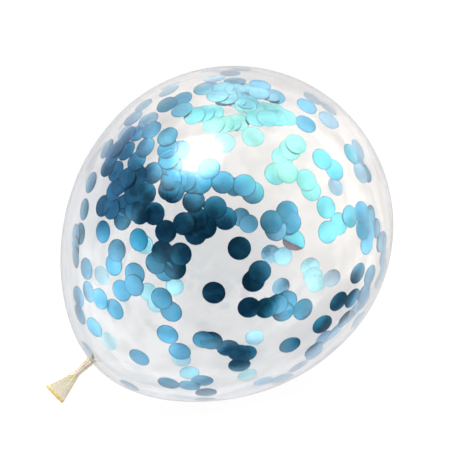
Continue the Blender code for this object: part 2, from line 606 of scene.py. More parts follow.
@dataclass
class ClearSkin:
    """The blown, see-through part of the balloon, as one closed wall.

    Attributes:
        form: The balloon's form.
        wall: Thickness of the stretched latex.
        segments: Faces round the axis.
        rings: Faces from the crown to the neck.
        rest_softness: How softly the skin meets the floor.
        puckers: Folds that gather towards the neck's root.
        pucker_depth: Their depth at the root.
        pucker_reach: How far from the root they fade out.
        pucker_start: How far from the root they are deepest.
    """

    form: BalloonForm
    wall: float = 0.0003
    segments: int = 144
    rings: int = 96
    rest_softness: float = 0.0005
    puckers: int = 15
    pucker_depth: float = 0.0005
    pucker_reach: float = 0.018
    pucker_start: float = 0.002

    def shape(self) -> bmesh.types.BMesh:
        """The skin's outside, in place and without its thickness.

        Returns:
            The bmesh.
        """
        mesh = bmesh.new()
        lean = Matrix.Rotation(self.form.pole_lean, 4, "Y")
        bmesh.ops.create_uvsphere(mesh, u_segments=self.segments, v_segments=self.rings,
                                  radius=1, matrix=lean)
        placing = self.form.placing()
        for vert in mesh.verts:
            vert.co = placing @ self.form.blown(vert.co)
        self.gather_at_root(mesh)
        self.settle_on_floor(mesh)
        bmesh.ops.recalc_face_normals(mesh, faces=mesh.faces[:])
        return mesh

    def gather_at_root(self, mesh: bmesh.types.BMesh) -> None:
        """Draws the skin into small folds that run into the neck's root.

        Args:
            mesh: The skin, in place.
        """
        neck = self.form.neck_frame()
        into_neck = neck.inverted()
        for vert in mesh.verts:
            own = into_neck @ vert.co
            reach = hypot(own.x, own.y)
            if own.z < -self.pucker_reach or reach > self.pucker_reach:
                continue
            fade = (1 - reach / self.pucker_reach) ** 2 * min(1.0, reach / self.pucker_start)
            own.z -= self.pucker_depth * fade * (1 + cos(self.puckers * atan2(own.y, own.x)))
            vert.co = neck @ own

    def settle_on_floor(self, mesh: bmesh.types.BMesh) -> None:
        """Presses the underside softly flat, just clear of the floor.

        Args:
            mesh: The skin, in place.
        """
        for vert in mesh.verts:
            height = vert.co.z
            vert.co.z = (height + sqrt(height**2 + self.rest_softness**2)) / 2

    def build(self, finish: bpy.types.Material) -> bpy.types.Object:
        """Builds the skin with its wall.

        Args:
            finish: The clear latex.

        Returns:
            The piece.
        """
        piece = finished_piece("clear_envelope", self.shape(), finish, sharp=pi)
        wall = piece.modifiers.new("wall", "SOLIDIFY")
        wall.thickness = self.wall
        wall.offset = -1
        return piece


@dataclass(frozen=True)
class NeckRing:
    """One cross-section of the neck.

    Attributes:
        distance: How far out from the root it stands.
        wide: Half its width.
        thin: Half its thickness.
        pleat: Depth of its pleats, as a share of its radius.
        fold: Depth of the broad lengthwise folds, as a share of its radius.
    """

    distance: float
    wide: float
    thin: float
    pleat: float = 0.0
    fold: float = 0.0


def between(first: float, second: float, share: float) -> float:
    """The number that lies that share of the way from the first to the second."""
    return first * (1 - share) + second * share


@dataclass
class NeckAndLip:
    """The neck in one moulding: gathered root, tube, flat trumpet and rolled lip.

    Attributes:
        neck: The neck's own frame.
        skin: The skin that the root's skirt hugs.
        root_radius: Radius of the gathered root.
        root_length: Length of the gathered root.
        tube_length: Length of the tube.
        tube_radius: Radius of the tube's narrow end.
        tube_flatness: Thickness of that end, as a share of its width.
        mouth_length: Length of the flat trumpet.
        mouth_width: Half width of the trumpet's end.
        mouth_thickness: Half thickness of the trumpet's end.
        bead: Radius of the rolled lip.
        bead_stretch: Length of the lip's roll, as a share of its radius.
        lip_start: Where the lip's turn starts, in half turns.
        lip_turn: How far it turns, in half turns.
        side_swell: How much of the lip's swell shows at its sides.
        wall: Thickness of the latex at the mouth.
        collar: Where the tube's own cross-sections start, past the gathered root.
        collar_width: Width of the tube's start, as a share of the root's.
        collar_flatness: Thickness of that start, as a share of its width.
        creased: Depth of the tube's pleats where they start and where they end.
        folded: Depth of the broad folds at the tube's middle and the trumpet's middle.
        skirt: Radii of the thin skirt that spreads on to the body.
        skirt_lift: How far the skirt stands off the skin.
        skirt_search: How far above the root the search for the skin starts.
        pleats: Gathers round the root.
        segments: Faces round the neck.
        steps: Cross-sections along the tube, and half of those along the trumpet.
        lip_steps: Cross-sections round the lip, after its first.
    """

    neck: Matrix
    skin: BVHTree
    root_radius: float = 0.0037
    root_length: float = 0.0050
    tube_length: float = 0.0137
    tube_radius: float = 0.0030
    tube_flatness: float = 0.8
    mouth_length: float = 0.0272
    mouth_width: float = 0.0110
    mouth_thickness: float = 0.0017
    bead: float = 0.0010
    bead_stretch: float = 1.55
    lip_start: float = 0.10
    lip_turn: float = 1.22
    side_swell: float = 0.45
    wall: float = 0.0005
    collar: float = 0.0066
    collar_width: float = 0.93
    collar_flatness: float = 0.86
    creased: tuple[float, float] = (0.13, 0.03)
    folded: tuple[float, float] = (0.07, 0.16)
    skirt: tuple[float, ...] = (0.00850, 0.007225, 0.00595, 0.00476)
    skirt_lift: float = 0.00012
    skirt_search: float = 0.01
    pleats: int = 11
    segments: int = 132
    steps: int = 9
    lip_steps: int = 14

    @property
    def mouth_start(self) -> float:
        """Where the tube ends and the trumpet starts."""
        return self.root_length + self.tube_length

    @property
    def roll(self) -> float:
        """Half the length of the lip's roll along the neck."""
        return self.bead * self.bead_stretch

    @property
    def length(self) -> float:
        """The neck's whole length with its lip."""
        return self.mouth_start + self.mouth_length + 2 * self.roll

    def root_rings(self) -> Iterator[NeckRing]:
        """The gathered root: two small rolls of creased latex, then the tube.

        Yields:
            Its cross-sections. Their widths are shares of the root's radius.
        """
        for distance, wide, thin, pleat in (
            (0.0006, 1.35, 1.30, 0.06),
            (0.0012, 1.12, 1.08, 0.10),
            (0.0019, 0.98, 0.92, 0.15),
            (0.0026, 0.92, 0.86, 0.16),
            (0.0033, 1.04, 0.98, 0.15),
            (0.0041, 1.08, 1.00, 0.13),
            (0.0049, 0.98, 0.90, 0.12),
            (0.0058, 0.94, 0.84, 0.11),
        ):
            yield NeckRing(distance, self.root_radius * wide, self.root_radius * thin, pleat)

    def tube_rings(self) -> Iterator[NeckRing]:
        """The tube, narrowing to the trumpet, with pleats that fade along it.

        Yields:
            Its cross-sections.
        """
        for step in range(1, self.steps + 1):
            share = step / self.steps
            wide = between(self.root_radius * self.collar_width, self.tube_radius, share)
            yield NeckRing(
                between(self.collar, self.mouth_start, share),
                wide,
                wide * between(self.collar_flatness, self.tube_flatness, share),
                pleat=between(self.creased[1], self.creased[0], (1 - share) ** 1.5),
                fold=self.folded[0] * sin(pi * share),
            )

    def mouth_rings(self) -> Iterator[NeckRing]:
        """The flat trumpet, straight-sided from the tube to the lip.

        Yields:
            Its cross-sections.
        """
        count = self.steps * 2
        for step in range(1, count + 1):
            share = step / count
            yield NeckRing(
                self.mouth_start + self.mouth_length * share,
                between(self.tube_radius, self.mouth_width, share),
                between(self.tube_radius * self.tube_flatness, self.mouth_thickness, share),
                pleat=self.creased[1] * (1 - share) ** 2,
                fold=self.folded[1] * sin(pi * min(1.0, share * 1.05)) ** 1.5,
            )

    def lip_rings(self) -> Iterator[NeckRing]:
        """The rolled lip: a flattened bead that turns outwards and back into the mouth.

        Yields:
            Its cross-sections.
        """
        centre = self.mouth_start + self.mouth_length + self.roll
        for step in range(self.lip_steps + 1):
            turn = pi * (self.lip_start + self.lip_turn * step / self.lip_steps)
            swell = self.bead * sin(turn) - self.wall / 2
            side = swell * self.side_swell if swell > 0 else swell
            yield NeckRing(centre - self.roll * cos(turn), self.mouth_width + side,
                           self.mouth_thickness + swell)

    def hollow_rings(self) -> Iterator[NeckRing]:
        """The inside of the trumpet, a wall's thickness in, deepest ring last.

        Yields:
            Its cross-sections.
        """
        for ring in reversed(list(self.mouth_rings())[:-1]):
            yield NeckRing(ring.distance, ring.wide - self.wall, ring.thin - self.wall,
                           fold=ring.fold)
        yield NeckRing(self.mouth_start, self.tube_radius - 2 * self.wall,
                       self.tube_radius * self.tube_flatness - 2 * self.wall)

    def outline(self, ring: NeckRing, angle: float) -> Vector:
        """A point of a cross-section, in the neck's frame.

        Args:
            ring: The cross-section.
            angle: The angle round the neck, from its wide side.

        Returns:
            The point.
        """
        gather = cos(self.pleats * angle + 0.6 * sin(2 * angle))
        fold = cos(3 * angle + 0.9) * abs(sin(angle))
        reach = 1 + ring.pleat * gather + ring.fold * fold
        return Vector((ring.wide * cos(angle) * reach, ring.thin * sin(angle) * reach,
                       ring.distance))

    def skirt_point(self, radius: float, angle: float) -> Vector:
        """A point of the skirt, laid on the skin, in the neck's frame.

        Args:
            radius: Distance from the neck's axis.
            angle: The angle round the neck.

        Returns:
            The point.
        """
        ragged = radius * (1 + 0.05 * sin(5 * angle) + 0.04 * sin(8 * angle + 1.0))
        above = self.neck @ Vector((ragged * cos(angle), ragged * sin(angle), self.skirt_search))
        down = -(self.neck.to_3x3() @ Vector((0, 0, 1)))
        hit = self.skin.ray_cast(above, down)[0]
        return self.neck.inverted() @ (hit - down * self.skirt_lift)

    def build(self, finish: bpy.types.Material) -> bpy.types.Object:
        """Builds the neck, ring by ring from the skirt out to the lip and back inside.

        Args:
            finish: The milky latex.

        Returns:
            The piece.
        """
        rows: list[Callable[[float], Vector]] = [
            partial(self.skirt_point, radius) for radius in self.skirt
        ]
        rings = (*self.root_rings(), *self.tube_rings(), *self.mouth_rings(),
                 *self.lip_rings(), *self.hollow_rings())
        rows += [partial(self.outline, ring) for ring in rings]
        last = len(rows) - 1
        mesh = bmesh.new()
        bmesh.ops.create_grid(mesh, x_segments=self.segments, y_segments=last, size=0.5)
        for vert in mesh.verts:
            point = rows[round((vert.co.y + 0.5) * last)]
            column = round((vert.co.x + 0.5) * self.segments) % self.segments
            vert.co = self.neck @ point(2 * pi * column / self.segments)
        bmesh.ops.remove_doubles(mesh, verts=mesh.verts[:], dist=1e-6)
        ends = [edge for edge in mesh.edges if edge.is_boundary]
        bmesh.ops.edgeloop_fill(mesh, edges=ends)
        bmesh.ops.recalc_face_normals(mesh, faces=mesh.faces[:])
        return finished_piece("neck_and_lip", mesh, finish, sharp=radians(70))


# ---------------------------------------------------------------- confetti


class Lay(Enum):
    """How the discs of a drift lie against each other."""

    ROW = "slid out one after another, like a spilt stack"
    HEAP = "scattered over one oval patch"


@dataclass(frozen=True)
class Drift:
    """Some foil discs that cling together on the inner wall, placed as on a globe.

    A spot is in degrees: towards the crown, then round the axis from the front to the upper left.

    Attributes:
        lay: How they lie.
        count: Number of discs.
        start: Where the row or the heap's long axis starts.
        end: Where it ends.
        breadth: Breadth of a heap, in diameters.
        facing: Degrees by which the discs lean to face crownwards and round the axis.
        loose: How unevenly they lean.
        sheen: Least strength of their painted sheen, cyan to mint, from 0 to 1.
        pale: How far their blue is washed out by painted haze, from 0 to 1.
        folded: Whether the disc is creased.
    """

    lay: Lay
    count: int
    start: Spot
    end: Spot
    breadth: float = 0.0
    facing: Spot = (0.0, 0.0)
    loose: float = 1.0
    sheen: float = 0.0
    pale: float = 0.0
    folded: bool = False


def row(count: int, start: Spot, end: Spot, **more: object) -> Drift:
    """A drift whose discs have slid out one after another."""
    return Drift(Lay.ROW, count, start, end, **more)


def heap(count: int, start: Spot, end: Spot, breadth: float, **more: object) -> Drift:
    """A drift whose discs lie scattered over a patch."""
    return Drift(Lay.HEAP, count, start, end, breadth, **more)


def lone(up: float, around: float, **more: object) -> Drift:
    """One disc by itself."""
    return Drift(Lay.ROW, 1, (up, around), (up, around), **more)


# Each drift's sheen and pale paint light on its discs: a mint sheen and a white haze.
CONFETTI: dict[str, tuple[Drift, ...]] = {
    "crown_sweep": (
        lone(36.5, 36, sheen=0.35, pale=0.1), row(4, (32, 48), (38, 38), sheen=0.25, pale=0.15),
        row(4, (36, 52), (45, 41), sheen=0.25, pale=0.15),
        row(3, (42, 49), (48, 38), sheen=0.15, pale=0.2), row(4, (36, 28), (45, 21), sheen=0.45),
        row(3, (38, 33), (44, 28), sheen=0.5, loose=0.6), lone(49, 49, facing=(-2, 3)),
        lone(50, 37, facing=(-2, 3), sheen=0.1), lone(42, 57),
    ),
    "crown_edge": (
        row(2, (30.5, 57), (32, 58), facing=(-2, 3), pale=0.1), lone(37, 64, pale=0.5),
        lone(21, 68, pale=0.5), row(2, (5.5, 67), (8.5, 58), facing=(5, 3), pale=0.4),
        row(2, (23, 75), (38, 78), pale=0.6),
    ),
    "mint_row": (
        row(2, (17, 59), (22, 57), facing=(-3, 5)), lone(19, 51, sheen=0.15, pale=0.1),
        row(3, (21, 45), (26, 41), sheen=0.4, loose=0.6),
        row(4, (23, 36), (30, 31), sheen=0.7, loose=0.5), lone(20.5, 27.5, sheen=1.0, pale=0.2),
        lone(29, 22, sheen=1.0, pale=0.1),
    ),
    "shoulder_column": (
        lone(7, 52, facing=(-2, 4)), row(3, (9, 44), (4, 37)), lone(9, 36),
        row(2, (3, 34), (0, 31)), row(2, (-2.5, 29), (-2, 27)), row(4, (1, 29), (6, 22)),
        lone(0, 20), lone(11, 24),
    ),
    "violet_heap": (
        lone(3.5, 56.5), row(2, (0, 60), (-4.5, 60.5)), lone(-3, 54.5),
        row(2, (-7.5, 59), (-10, 58)), lone(-9, 52.5), row(2, (1.5, 48), (-3, 47)),
        row(2, (-6, 42.5), (-2.5, 38), facing=(-5, 2)),
    ),
    "navy_heap": (
        row(3, (-8.5, 45.5), (-13.5, 47.5)), row(2, (-17.5, 44), (-19, 48.5)),
        row(3, (-10, 39), (-7.5, 35)), lone(-13, 35), lone(-12.5, 32), lone(-10, 28),
        row(2, (-14.5, 40), (-17.5, 37)), lone(-24, 41, facing=(-8, 0)),
        lone(-18, 26, facing=(-9, -4)),
    ),
    "dark_middle": (
        row(2, (-6, 17), (-3, 15)), row(2, (-3, 11), (-6, 12)),
        row(2, (3, 13), (3, 8), facing=(4, 0)), lone(-11, 20.5), lone(-13, 11),
        row(2, (-16, 16.5), (-17, 9.5)), row(2, (-20, 16), (-20, 12), facing=(-6, 0)), lone(-1, -2),
        lone(-14.7, -6),
    ),
    "middle_row": (
        lone(11, 17), row(2, (15, 11), (15.5, 7.5)), lone(12, -4), row(2, (18, -6), (16, -9)),
        lone(11, -7, pale=0.2), lone(12.5, -14.5, facing=(8, -12), sheen=0.1, folded=True),
        row(2, (-2, -12), (-5, -13)),
    ),
    "left_edge": (
        lone(-7, 67, facing=(-5, 0), pale=0.2), lone(-17, 62, facing=(-5, 0), pale=0.2),
        row(2, (-24, 58), (-30, 54), facing=(-4, 0), pale=0.2),
        row(3, (-32, 58), (-38, 54), facing=(-3, 0), pale=0.25), lone(-37, 42, pale=0.1),
        row(2, (-48, 44), (-54, 41), pale=0.35), lone(-53, 26),
    ),
    "neck_side_chain": (
        row(2, (-25, 31), (-29, 29)), row(2, (-26, 20), (-29, 17)), lone(-33, 20),
        row(3, (-40, 19), (-43, 37)),
    ),
    "lower_row": (
        row(2, (-26, 6), (-27, 0)), lone(-33, -6), lone(-35, -15), lone(-48, -6),
        row(2, (-27, -17), (-25.5, -19)), lone(-24, -26),
        row(2, (-23, -31), (-22, -33), facing=(-3, -2)), lone(-26, -37, facing=(-3, -2)),
    ),
    "lower_edge": (
        lone(-49, -31), row(2, (-44, -38), (-39, -37)), lone(-42, -49), lone(-46, -61, pale=0.3),
        lone(-68, -32, pale=0.3), lone(-22, -64.5, pale=0.5), lone(-16, -60.5, pale=0.8),
        lone(-69, 30, pale=0.5),
    ),
    "right_chain": (
        lone(-11, -18), row(3, (-8, -23), (-3, -27)), lone(-6, -29), lone(-2, -35, facing=(6, -4)),
        lone(-12, -43, facing=(-3, -2)), lone(-2, -47, facing=(-2, -3)),
    ),
    "right_edge": (
        lone(19, -46, facing=(-6, 2)), row(2, (7, -45), (11, -51), facing=(-4, 0)),
        row(2, (21, -54), (15, -57), pale=0.15), row(2, (13, -61), (8, -59), loose=3.0, pale=0.4),
        row(2, (4, -57), (-1, -58), loose=3.0, pale=0.3), lone(-9, -55.5, pale=0.25),
        row(2, (26, -67), (6, -68), pale=0.3),
    ),
    "right_cluster": (
        lone(28.5, -17, sheen=0.35), row(2, (22, -22.5), (27.5, -25), sheen=0.35),
        lone(32, -29, sheen=0.2), row(2, (37, -34), (32, -38)), row(3, (37, -42), (29, -44)),
        lone(34, -57, pale=0.4),
    ),
    "mint_shoulder": (
        row(3, (39, 8.5), (31, 8.5), sheen=0.6), row(2, (25, 6), (28, 3)),
        row(2, (31, -4), (30, -8), sheen=0.5), row(2, (41.5, -4.5), (42, -12), sheen=0.2),
    ),
    "crown_singles": (
        lone(58, 22, facing=(-3, 2)), lone(49, 13, facing=(-3, 0)),
        row(2, (59, 6), (61, 5), pale=0.35), lone(54, -18, facing=(-2, 0), sheen=0.2),
        lone(60, -24, pale=0.4), lone(50, -27.5, pale=0.55),
    ),
    "far_singles": (
        row(3, (7, -139), (4, -131.5), facing=(-12, 8), sheen=0.45, pale=0.4),
        lone(9.5, -126.5, facing=(-8, 6), pale=0.75),
        lone(0, -156.5, facing=(-8, 0), sheen=0.1, pale=0.5),
        lone(2.5, -152, facing=(-14, 2), sheen=0.2, pale=0.4),
        lone(9, -164, facing=(-14, 0), sheen=0.2), lone(-5.5, -143.5, facing=(4, -4), pale=0.4),
        lone(-23, -132, sheen=0.2, pale=0.5), lone(-33, -111, sheen=0.5, pale=0.4),
        lone(-30, -177, sheen=0.3, pale=0.45),
        row(2, (-38, 175), (-39.5, 182), sheen=0.25, pale=0.4),
        lone(-48, -141, sheen=0.25, pale=0.5),
        lone(-45, 144, facing=(-12, -8), sheen=0.25, pale=0.6), lone(-26, 160, sheen=0.3, pale=0.4),
        lone(-14, 148, sheen=0.3, pale=0.4), lone(-66, 169, sheen=0.5, pale=0.6),
        row(2, (2.5, -176), (2.5, -171.5), facing=(-16, -2), pale=0.3),
        lone(10, 174, facing=(-14, 0), sheen=0.2), lone(40, -149.5, pale=0.6),
        lone(10, 108, pale=0.4), row(2, (75, 170), (71, 150), pale=0.7),
    ),
    "far_crown_heap": (
        row(3, (34, 136), (42, 140)), row(2, (45, 110), (50, 101), pale=0.4),
    ),
    "far_shoulder_heap": (
        heap(4, (-10, 136), (-15, 138), 1.2), row(2, (-7, 119), (-2, 115), pale=0.5), lone(0, 148),
    ),
    "far_lower_drift": (
        lone(-49, -128, sheen=0.3, pale=0.3), row(2, (-30, -97), (-25, -93), pale=0.4),
        row(2, (-12, -99), (-7, -105), pale=0.4),
    ),
    "far_right_drift": (
        row(2, (22, -93), (30, -98), pale=0.4), row(3, (34, -106), (41, -120), pale=0.4),
        row(2, (56, -128), (60, -138), pale=0.2),
    ),
}


@dataclass
class WallDisc:
    """One disc where it lies on the wall.

    Attributes:
        place: Its middle, on the skin's outside.
        outwards: The skin's direction there.
        crownwards: The direction in the skin towards the crown.
        layer: How many discs lie between it and the wall.
        slope: Its slope crownwards and round the axis.
        bend: Height of its own bend at the rim.
        spin: Its turn in its own plane, which is also the bend's direction.
        tone: Its place between the two blues.
    """

    place: Vector
    outwards: Vector
    crownwards: Vector
    layer: int
    slope: Vector
    bend: float
    spin: float
    tone: float

    @property
    def around(self) -> Vector:
        """The direction in the skin round the axis."""
        return self.crownwards.cross(self.outwards)


@dataclass
class ConfettiDrifts:
    """Foil discs that cling to the inside of the skin in drifts.

    Attributes:
        form: The balloon's form.
        skin: The skin's outside.
        skin_wall: The skin's thickness.
        radius: Radius of a disc.
        film: Thickness of the foil.
        sides: Sides of a disc's rim.
        rim: Width of the rim that the punch has turned over.
        rim_turn: How far the rim is turned over.
        clearance: Gap between the wall and the first layer.
        layer_gap: Distance from one layer to the next.
        cling: How closely a disc follows the wall's curve, from 0 to 1.
        drift_slope: Usual lean that the discs of a drift share, in degrees.
        disc_slope: Usual lean of a disc by itself, in degrees.
        most_slope: Largest lean, as a multiple of the usual one.
        most_bend: Largest bend of a disc at its rim.
        jitter: How unevenly the discs of a row are placed, in diameters.
        tries: Spots tried for each disc of a heap, to keep it off the others.
        pole_guard: Least share of the full circle that counts near the balloon's poles.
        crease_at: Where a folded disc is creased, as a share of its radius.
        crease_turn: How far its flap is bent off the wall.
        crease_heading: Which way the flap lies, from crownwards.
        sheen_spot: Where on the wall a disc's painted sheen is mintiest.
        sheen_breadth: Degrees to where the painted sheen ends, crownwards and round the axis.
        seed: Start of the random draws.
        placed: The discs laid so far.
    """

    form: BalloonForm
    skin: BVHTree
    skin_wall: float
    radius: float = 0.0100
    film: float = 0.00006
    sides: int = 16
    rim: float = 0.0010
    rim_turn: float = 0.00010
    clearance: float = 0.00010
    layer_gap: float = 0.00020
    cling: float = 0.8
    drift_slope: float = 1.8
    disc_slope: float = 2.2
    most_slope: float = 1.8
    most_bend: float = 0.00022
    jitter: float = 0.05
    tries: int = 12
    pole_guard: float = 0.15
    crease_at: float = 0.2
    crease_turn: float = radians(42)
    crease_heading: float = radians(165)
    sheen_spot: Spot = (28.0, 18.0)
    sheen_breadth: Spot = (14.0, 38.0)
    seed: int = 11
    placed: list[WallDisc] = field(default_factory=list)

    def __post_init__(self) -> None:
        """Makes the plain discs that the others start from, and the directions they need."""
        self.plain = self.plain_disc(folded=False)
        self.creased = self.plain_disc(folded=True)
        self.placing = self.form.placing()
        self.crown = self.placing.to_3x3() @ Vector((0, 0, 1))
        self.sheen_to = self.form.turn() @ self.form.unit_at(*self.sheen_spot)
        self.sheen_up = (self.crown - self.sheen_to * self.crown.dot(self.sheen_to)).normalized()

    def plain_disc(self, folded: bool) -> bpy.types.Mesh:
        """A flat disc with a turned rim, as it comes from the punch.

        Args:
            folded: Whether it is creased.

        Returns:
            The disc's mesh.
        """
        mesh = bmesh.new()
        bmesh.ops.create_cone(mesh, cap_ends=True, cap_tris=False, segments=self.sides,
                              radius1=self.radius, radius2=self.radius, depth=self.film)
        caps = [face for face in mesh.faces if len(face.verts) == self.sides]
        bmesh.ops.inset_individual(mesh, faces=caps, thickness=self.rim)
        edge = mesh.verts.layers.float.new(Mark.EDGE.value)
        for vert in mesh.verts:
            if vert.co.to_2d().length > self.radius - self.rim / 2:
                vert.co.z -= self.rim_turn
                vert[edge] = 1.0
        outer = [face for face in mesh.faces
                 if len(face.verts) == self.sides and face.calc_center_median().z > 0]
        bmesh.ops.poke(mesh, faces=outer)
        reverse = mesh.faces.layers.float.new(Mark.REVERSE.value)
        if folded:
            self.crease(mesh, reverse)
        data = bpy.data.meshes.new("plain_disc")
        mesh.to_mesh(data)
        mesh.free()
        return data

    def crease(self, mesh: bmesh.types.BMesh, reverse: object) -> None:
        """Creases a disc, so that its flap stands off the wall in the reverse's colour.

        Args:
            mesh: The disc.
            reverse: The face layer that marks the reverse.
        """
        crease = Vector((self.radius * self.crease_at, 0, 0))
        everything = mesh.verts[:] + mesh.edges[:] + mesh.faces[:]
        bmesh.ops.bisect_plane(mesh, geom=everything, plane_co=crease, plane_no=(1, 0, 0))
        for face in mesh.faces:
            face[reverse] = float(face.calc_center_median().x > crease.x)
        flap = [vert for vert in mesh.verts if vert.co.x > crease.x + 1e-6]
        turn = Matrix.Rotation(self.crease_turn, 4, "Y")
        bmesh.ops.transform(mesh, matrix=turn, verts=flap, space=Matrix.Translation(-crease))

    def step(self, spot: Spot, heading: float, far: float) -> Spot:
        """Moves over the wall.

        Args:
            spot: The start.
            heading: Direction, from crownwards to round the axis.
            far: How far, in diameters.

        Returns:
            The new spot.
        """
        arc = far * 2 * self.radius / (self.form.girth * radians(1))
        around = arc * sin(heading) / max(self.pole_guard, cos(radians(spot[0])))
        return spot[0] + arc * cos(heading), spot[1] + around

    def spots(self, drift: Drift, draw: random.Random) -> Iterator[Spot]:
        """Where the discs of a drift lie.

        Args:
            drift: The drift.
            draw: The random draws.

        Yields:
            The spot of each disc.
        """
        start, end = Vector(drift.start), Vector(drift.end)
        if drift.lay is Lay.ROW:
            for number in range(drift.count):
                even = start.lerp(end, number / max(1, drift.count - 1))
                yield self.step(tuple(even), draw.uniform(0, 2 * pi),
                                draw.uniform(0, self.jitter))
            return
        middle = start.lerp(end, 0.5)
        squeeze = cos(radians(middle[0]))
        axis = Vector((end[0] - start[0], (end[1] - start[1]) * squeeze)) * radians(1)
        half_length = axis.length * self.form.girth / (4 * self.radius)
        heading = atan2(axis[1], axis[0])
        chosen: list[Vector] = []
        for _ in range(drift.count):
            tries = [self.in_oval(half_length, drift.breadth / 2, draw) for _ in range(self.tries)]
            best = max(tries, key=lambda spot: min(((spot - other).length for other in chosen),
                                                   default=0.0))
            chosen.append(best)
            yield self.step(tuple(middle), heading + atan2(best.y, best.x), best.length)

    @staticmethod
    def in_oval(half_length: float, half_breadth: float, draw: random.Random) -> Vector:
        """A random spot in an oval."""
        angle, far = draw.uniform(0, 2 * pi), sqrt(draw.random())
        return Vector((half_length * far * cos(angle), half_breadth * far * sin(angle)))

    def slope_of(self, usual: float, draw: random.Random) -> Vector:
        """A random slope, crownwards and round the axis.

        Args:
            usual: Its usual size in degrees.
            draw: The random draws.

        Returns:
            The slope.
        """
        size = min(abs(draw.gauss(0, usual)), self.most_slope * usual) * radians(1)
        turn = draw.uniform(0, 2 * pi)
        return Vector((size * cos(turn), size * sin(turn)))

    def settle(self, spot: Spot, slope: Vector, drift: Drift, draw: random.Random) -> WallDisc:
        """Lays one disc on the wall, over the discs that are there already.

        Args:
            spot: Where it lies.
            slope: The slope that it leans at.
            drift: The drift that it belongs to.
            draw: The random draws.

        Returns:
            The disc.
        """
        guess = self.placing @ self.form.blown(self.form.unit_at(*spot))
        place, outwards = self.skin.find_nearest(guess)[:2]
        under = [disc.layer for disc in self.placed
                 if (disc.place - place).length < 2 * self.radius]
        disc = WallDisc(
            place=place,
            outwards=outwards,
            crownwards=(self.crown - outwards * self.crown.dot(outwards)).normalized(),
            layer=1 + max(under, default=-1),
            slope=slope,
            bend=draw.uniform(-1, 1) * self.most_bend,
            spin=self.crease_heading if drift.folded else draw.uniform(0, 2 * pi),
            tone=draw.random(),
        )
        self.placed.append(disc)
        return disc

    def shape(self, disc: WallDisc, spot: Vector) -> Vector:
        """Where a point of the plain disc goes.

        Args:
            disc: The disc where it lies.
            spot: The point of the plain disc.

        Returns:
            The point in place.
        """
        flat = Matrix.Rotation(disc.spin, 2) @ spot.to_2d()
        over = disc.place + disc.crownwards * flat.x + disc.around * flat.y
        inside = over - disc.outwards * 2 * self.radius
        hit = self.skin.ray_cast(inside, disc.outwards)[0]
        sag = (over - hit).dot(disc.outwards)
        flat_sag = self.radius**2 / (2 * self.form.girth)
        depth = self.skin_wall + self.clearance + disc.layer * self.layer_gap
        depth += self.cling * sag + (1 - self.cling) * flat_sag
        depth += disc.slope.dot(flat) + disc.slope.length * self.radius
        depth += disc.bend * (spot.x / self.radius) ** 2 + abs(disc.bend)
        return over + disc.outwards * (spot.z - depth)

    def sheen_at(self, disc: WallDisc, place: Vector) -> float:
        """How minty the painted sheen is at a point of a disc, by the way the disc faces there.

        Args:
            disc: The disc.
            place: The point.

        Returns:
            The painted sheen, up to 1.
        """
        normal = disc.outwards + disc.crownwards * disc.slope.x + disc.around * disc.slope.y
        normal += (place - disc.place) * self.cling / self.form.girth
        ahead = normal.dot(self.sheen_to)
        up = atan2(normal.dot(self.sheen_up), ahead) / radians(self.sheen_breadth[0])
        aside = normal.dot(self.sheen_up.cross(self.sheen_to))
        around = atan2(aside, ahead) / radians(self.sheen_breadth[1])
        return 1 - hypot(up, around)

    def build(self, name: str, drifts: Sequence[Drift],
              finish: bpy.types.Material) -> bpy.types.Object:
        """Builds the discs of one named group of drifts as a piece.

        Args:
            name: The group's name.
            drifts: Its drifts.
            finish: The blue foil.

        Returns:
            The piece.
        """
        draw = random.Random(f"{self.seed}{name}")
        mesh = bmesh.new()
        tone, sheen, pale, _ = (
            mesh.verts.layers.float.new(mark.value)
            for mark in (Mark.TONE, Mark.SHEEN, Mark.PALE, Mark.EDGE)
        )
        mesh.faces.layers.float.new(Mark.REVERSE.value)
        for drift in drifts:
            shared = self.slope_of(self.drift_slope, draw)
            shared += Vector(drift.facing) * radians(1)
            for spot in self.spots(drift, draw):
                slope = shared + self.slope_of(self.disc_slope * drift.loose, draw)
                disc = self.settle(spot, slope, drift, draw)
                known = len(mesh.verts)
                mesh.from_mesh(self.creased if drift.folded else self.plain)
                mesh.verts.ensure_lookup_table()
                for vert in mesh.verts[known:]:
                    vert.co = self.shape(disc, vert.co)
                    vert[tone] = disc.tone
                    # Painted sheen by the way the disc faces, and painted haze by its drift.
                    vert[sheen] = max(drift.sheen, self.sheen_at(disc, vert.co))
                    vert[pale] = drift.pale
        return finished_piece(f"confetti_{name}", mesh, finish, sharp=radians(40))


# ---------------------------------------------------------------- studio


@dataclass(frozen=True)
class SoftPatch:
    """A soft round patch of the studio that surrounds the balloon.

    Attributes:
        azimuth: Degrees from the front, towards the right.
        elevation: Degrees above the horizon.
        core: Radius in degrees within which it is fully itself.
        fade: Radius in degrees where it has faded out.
        light: Its radiance.
    """

    azimuth: float
    elevation: float
    core: float
    fade: float
    light: Colour

    def direction(self) -> Vector:
        """The direction to the patch's middle."""
        side, high = radians(self.azimuth), radians(self.elevation)
        return Vector((sin(side) * cos(high), -cos(side) * cos(high), sin(high)))

    def share(self, graph: NodeGraph, direction: Socket) -> Socket:
        """How fully the patch covers a direction, from 0 to 1."""
        near = graph.vectors("DOT_PRODUCT", direction, self.direction(), output="Value")
        return graph.ease(near, cos(radians(self.fade)), cos(radians(self.core)))


